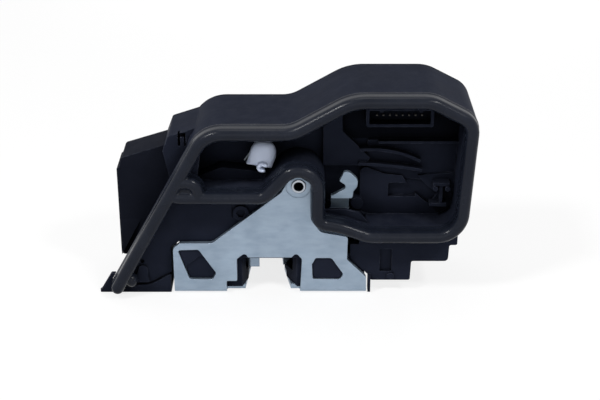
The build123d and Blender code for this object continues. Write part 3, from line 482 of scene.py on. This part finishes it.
def roundedLoop(corners, step):
    # Points and headings along a closed run of lines and tangent arcs
    points = []
    count = len(corners)
    for index in range(count):
        x, z, radius = corners[index]
        before = Vector(corners[index - 1][:2]) - Vector((x, z))
        after = Vector(corners[(index + 1) % count][:2]) - Vector((x, z))
        turn = pi - before.angle(after)
        reach = radius * tan(turn / 2)
        start = Vector((x, z)) + before.normalized() * reach
        side = 1 if before.x * after.y - before.y * after.x < 0 else -1
        heading = atan2(-before.y, -before.x)
        centre = start + Vector((-sin(heading), cos(heading))) * radius * side
        pieces = max(3, int(radius * turn / step))
        for n in range(pieces + 1):
            angle = heading + side * turn * n / pieces
            spot = centre - Vector((-sin(angle), cos(angle))) * radius * side
            points.append((spot, angle))
    path = []
    for index, (spot, angle) in enumerate(points):
        path.append((spot, angle))
        following = points[(index + 1) % len(points)][0]
        gap = (following - spot).length
        if gap > 2.5 * step:
            pieces = int(gap / step)
            path += [(spot.lerp(following, n / pieces), angle) for n in range(1, pieces)]
    return path


def sealProfile(part):
    # Round-nosed strip with a thin lip at its seat on both sides
    half = part["width"] / 2
    wall = half - part["lip"]
    shoulder = part["depth"] - part["crown"]
    side = [(half, 0.0), (half, part["lipLow"]), (wall, part["lipHigh"]), (wall, shoulder)]
    outline = [(-across, up) for across, up in side]
    for n in range(1, part["crownSteps"]):
        angle = pi - n * pi / part["crownSteps"]
        outline.append((wall * cos(angle), shoulder + part["crown"] * sin(angle) ** part["crownPower"]))
    return outline + side[::-1]


def corner(mesh, x, y, z):
    return mesh.verts.new((x * mm, y * mm, z * mm))


def sweepSeal(mesh, path, outline, part, closed):
    rings = []
    for spot, angle in path:
        side = Vector((-sin(angle), cos(angle)))
        rings.append([
            corner(mesh, spot.x + side.x * across, part["seat"] - up, spot.y + side.y * across)
            for across, up in outline
        ])
    pairs = list(zip(rings, rings[1:]))
    if closed:
        pairs.append((rings[-1], rings[0]))
    for one, two in pairs:
        for n in range(len(outline)):
            m = (n + 1) % len(outline)
            mesh.faces.new((one[n], one[m], two[m], two[n]))
    if not closed:
        mesh.faces.new(rings[0])
        mesh.faces.new(reversed(rings[-1]))


def turnedEnd(mesh, centre, outline, part):
    # The strip's section turned about its own middle closes the tail
    half = [point for point in outline if point[0] >= 0]
    rings = []
    for n in range(part["endTurns"]):
        angle = 2 * pi * n / part["endTurns"]
        rings.append([
            corner(mesh, centre[0] + across * cos(angle), part["seat"] - up, centre[1] + across * sin(angle))
            for across, up in half
        ])
    for one, two in zip(rings, rings[1:] + rings[:1]):
        for n in range(len(half) - 1):
            mesh.faces.new((one[n], one[n + 1], two[n + 1], two[n]))
    mesh.faces.new([ring[0] for ring in rings])
    mesh.faces.new([ring[-1] for ring in reversed(rings)])


def slab(mesh, corners, back, front):
    low = [corner(mesh, x, back, z) for x, z in corners]
    high = [corner(mesh, x, front, z) for x, z in corners]
    for n in range(len(corners)):
        m = (n + 1) % len(corners)
        mesh.faces.new((low[n], low[m], high[m], high[n]))
    mesh.faces.new(reversed(low))
    mesh.faces.new(high)


def solidPiece(name, mesh, material):
    bmesh.ops.recalc_face_normals(mesh, faces=mesh.faces)
    data = bpy.data.meshes.new(name)
    mesh.to_mesh(data)
    mesh.free()
    data.shade_smooth()
    thing = bpy.data.objects.new(name, data)
    bpy.context.scene.collection.objects.link(thing)
    data.materials.append(material)
    return thing


def settle(thing, voxel, smooth):
    # Melts overlapping shells into one skin, then evens it out
    remesh = thing.modifiers.new("remesh", "REMESH")
    remesh.mode = "VOXEL"
    remesh.voxel_size = voxel * mm
    even = thing.modifiers.new("even", "SMOOTH")
    even.iterations = smooth
    bpy.context.view_layer.update()
    made = bpy.data.meshes.new_from_object(thing.evaluated_get(bpy.context.evaluated_depsgraph_get()))
    thing.modifiers.clear()
    thing.data = made
    made.shade_smooth()


def kneePath(part):
    # A short bend that joins the low bar to the tail inside their corner
    a, b, c = (Vector(p) for p in part["knee"])
    path = []
    count = part["kneeSteps"]
    for n in range(count + 1):
        t = n / count
        along = (b - a) * (1 - t) + (c - b) * t
        path.append((a.lerp(b, t).lerp(b.lerp(c, t), t), atan2(along.y, along.x)))
    return path


def makeSeal(part):
    outline = sealProfile(part)
    mesh = bmesh.new()
    sweepSeal(mesh, roundedLoop(part["loop"], part["step"]), outline, part, True)
    start, end = (Vector(p) for p in part["tail"])
    heading = atan2(end.y - start.y, end.x - start.x)
    pieces = int((end - start).length / part["step"])
    tail = [(start.lerp(end, n / pieces), heading) for n in range(pieces + 1)]
    sweepSeal(mesh, tail, outline, part, False)
    turnedEnd(mesh, part["tail"][1], outline, part)
    bmesh.ops.create_uvsphere(
        mesh, u_segments=24, v_segments=14, radius=mm,
        matrix=Matrix.Translation(Vector(part["nub"]) * mm) @ Matrix.Diagonal((*part["nubSize"], 1)),
    )
    sweepSeal(mesh, kneePath(part), outline, part, False)
    slab(mesh, part["web"], part["seat"], part["seat"] - part["depth"] + part["webDrop"])
    thing = solidPiece("doorSeal", mesh, materials["seal_rubber"])
    settle(thing, part["voxel"], part["smooth"])
    return thing


doorSeal = makeSeal(seal)
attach(doorSeal, "frame")
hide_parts("seal_gasket")
print("stage: seal made")

handle = {
    "pivot": (-3.2, 73.6),
    "back": -8.2,
    "plate": [
        (-3.1, 7.2), (-5.3, 4.9), (-6.3, 2.4), (-7.2, -0.6), (-8.3, -3.9), (-3.6, -4.9),
        (1.0, -6.0), (4.6, -6.1), (6.3, -1.6), (6.8, 1.2), (6.4, 4.0), (5.1, 6.2), (3.3, 7.4), (0.0, 7.9),
    ],
    "sharp": (4, 7),
    "softness": 6,
    "sharpPull": 0.8,
    "rise": 5.4,
    "skirt": 1.6,
    "shift": 0.9,
    "domePower": 0.7,
    "domeSteps": 13,
    "curl": (0.0, -4.6),
    "curlRadius": 1.85,
    "curlWire": 1.4,
    "curlThinning": 0.25,
    "curlHeight": 1.9,
    "curlFrom": 25,
    "curlTo": 300,
    "curlDepth": 4.6,
    "curlTurns": 22,
    "curlSides": 12,
    "hubRadius": 4.6,
    "hubLength": 3.2,
    "hubBack": 1.3,
    "voxel": 0.14,
    "smooth": 4,
}


def smoothOutline(part):
    # A soft curve through the plate's corners, except at the sharp ones
    corners = [Vector(spot) for spot in part["plate"]]
    points = []
    total = len(corners)
    for n in range(total):
        after = (n + 1) % total
        one, two = corners[n], corners[after]
        straight = (two - one) * part["sharpPull"]
        ahead = straight if n in part["sharp"] else (two - corners[n - 1]) / 2
        behind = straight if after in part["sharp"] else (corners[(n + 2) % total] - one) / 2
        for k in range(part["softness"]):
            t = k / part["softness"]
            points.append(
                one * (2 * t**3 - 3 * t**2 + 1) + ahead * (t**3 - 2 * t**2 + t)
                + two * (3 * t**2 - 2 * t**3) + behind * (t**3 - t**2)
            )
    return points


def addCurl(mesh, part):
    # Thick wire curled round at the lever's foot, thinner towards its end
    curl = Vector(part["pivot"]) + Vector(part["curl"])
    turns = part["curlTurns"]
    sides = part["curlSides"]
    wire = []
    for n in range(turns + 1):
        angle = radians(part["curlFrom"] + (part["curlTo"] - part["curlFrom"]) * n / turns)
        out = Vector((cos(angle), sin(angle)))
        centre = curl + out * part["curlRadius"]
        thick = part["curlWire"] * (1 - part["curlThinning"] * (n / turns) ** 3)
        ring = []
        for k in range(sides):
            side = 2 * pi * k / sides
            flat = centre + out * thick * cos(side)
            deep = part["back"] - part["curlDepth"] - part["curlHeight"] * thick * sin(side)
            ring.append(corner(mesh, flat.x, deep, flat.y))
        wire.append(ring)
    for one, two in zip(wire, wire[1:]):
        for k in range(sides):
            mesh.faces.new((one[k], one[(k + 1) % sides], two[(k + 1) % sides], two[k]))
    mesh.faces.new(wire[0])
    mesh.faces.new(reversed(wire[-1]))


def makeHandle(part):
    # Domed lever with a thick curl at its foot that holds the rod's end
    mesh = bmesh.new()
    x, z = part["pivot"]
    plate = smoothOutline(part)
    levels = [(1.0, 0.0)]
    for n in range(part["domeSteps"]):
        turn = n * pi / 2 / (part["domeSteps"] - 0.5)
        up = part["skirt"] + (part["rise"] - part["skirt"]) * sin(turn)
        levels.append((cos(turn) ** part["domePower"], up))
    rings = []
    for share, up in levels:
        slide = part["shift"] * (1 - share)
        rings.append([
            corner(mesh, x + p.x * share + slide, part["back"] - up, z + p.y * share - slide)
            for p in plate
        ])
    for one, two in zip(rings, rings[1:]):
        for n in range(len(one)):
            m = (n + 1) % len(one)
            mesh.faces.new((one[n], one[m], two[m], two[n]))
    mesh.faces.new(rings[0])
    mesh.faces.new(rings[-1])
    bmesh.ops.recalc_face_normals(mesh, faces=mesh.faces)
    addCurl(mesh, part)
    hub = Vector((x, part["back"] + part["hubBack"], z)) * mm
    radius = part["hubRadius"] * mm
    bmesh.ops.create_cone(
        mesh, cap_ends=True, segments=32, radius1=radius, radius2=radius, depth=part["hubLength"] * mm,
        matrix=Matrix.Translation(hub) @ Matrix.Rotation(pi / 2, 4, "X"),
    )
    thing = solidPiece("lockHandle", mesh, materials["white_plastic"])
    settle(thing, part["voxel"], part["smooth"])
    return thing


lockHandle = makeHandle(handle)
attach(lockHandle, "lock_body")
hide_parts("lock_lever")
print("stage: lock handle made")

room = {
    "floor": 4.0, "drop": 0.0002, "white": 1.0, "glow": 0.8, "sky": 0.2, "middle": (0.0, 0.0, 0.05),
    "lamps": {
        "leftLight": {"place": (-0.5, -0.42, 0.81), "size": 0.17, "energy": 5.5},
        "rightLight": {"place": (0.52, -0.42, 0.79), "size": 0.17, "energy": 3.9},
        "topLight": {"place": (0.0, 0.2, 1.05), "size": 0.5, "energy": 1.5},
        "fillLight": {"place": (0.1, -1.0, 0.3), "size": 0.7, "energy": 1.0},
    },
    # The low lamps open up the back and the sides, and leave no glare along the top
    "lowLamps": {
        "rimLight": {"place": (0.15, 1.0, 0.1), "size": 0.25, "energy": 9.0},
        "leftSideLight": {"place": (-1.0, 0.25, 0.1), "size": 0.25, "energy": 2.4},
        "rightSideLight": {"place": (1.0, 0.25, 0.1), "size": 0.25, "energy": 2.4},
    },
}


def directView(tree):
    # 1 for what the camera sees, straight or in a mirror or through a clear piece, 0 for the rest
    path = add(tree, "ShaderNodeLightPath")
    direct = calc(tree, "MAXIMUM", path.outputs["Is Camera Ray"], path.outputs["Is Glossy Ray"])
    return calc(tree, "MAXIMUM", direct, path.outputs["Is Transmission Ray"])


def paleFloor():
    material, tree, shader = newMaterial("paleFloor")
    shader.inputs["Base Color"].default_value = (0.95, 0.95, 0.95, 1)
    shader.inputs["Roughness"].default_value = 0.9
    glow = add(tree, "ShaderNodeEmission", inputs={"Color": (1, 1, 1, 1), "Strength": room["white"]})
    seen = add(tree, "ShaderNodeMixShader")
    tree.links.new(calc(tree, "MULTIPLY", directView(tree), room["glow"]), seen.inputs["Fac"])
    tree.links.new(shader.outputs[0], seen.inputs[1])
    tree.links.new(glow.outputs[0], seen.inputs[2])
    output = next(n for n in tree.nodes if n.type == "OUTPUT_MATERIAL")
    tree.links.new(seen.outputs[0], output.inputs[0])
    return material


def makeFloor():
    mesh = bmesh.new()
    bmesh.ops.create_grid(mesh, x_segments=1, y_segments=1, size=room["floor"])
    data = bpy.data.meshes.new("floor")
    mesh.to_mesh(data)
    mesh.free()
    floor = bpy.data.objects.new("floor", data)
    floor.location.z = cadBox[0][2] - room["drop"]
    bpy.context.scene.collection.objects.link(floor)
    floor.data.materials.append(paleFloor())


def areaLight(name, lamp, shines):
    data = bpy.data.lights.new(name, "AREA")
    data.shape = "DISK"
    data.size = lamp["size"]
    data.energy = lamp["energy"]
    light = bpy.data.objects.new(name, data)
    light.visible_glossy = shines
    light.location = lamp["place"]
    aim = Vector(room["middle"]) - Vector(lamp["place"])
    light.rotation_euler = aim.to_track_quat("-Z", "Y").to_euler()
    bpy.context.scene.collection.objects.link(light)


def makeLight():
    world = bpy.data.worlds.new("studio")
    bpy.context.scene.world = world
    world.use_nodes = True
    tree = world.node_tree
    background = tree.nodes["Background"]
    background.inputs["Color"].default_value = (1, 1, 1, 1)
    strength = add(tree, "ShaderNodeMapRange", inputs={"To Min": room["sky"], "To Max": room["white"]})
    tree.links.new(directView(tree), strength.inputs["Value"])
    tree.links.new(strength.outputs["Result"], background.inputs["Strength"])
    for name, lamp in room["lamps"].items():
        areaLight(name, lamp, True)
    for name, lamp in room["lowLamps"].items():
        areaLight(name, lamp, False)


makeFloor()
makeLight()
print("stage: floor and light placed")
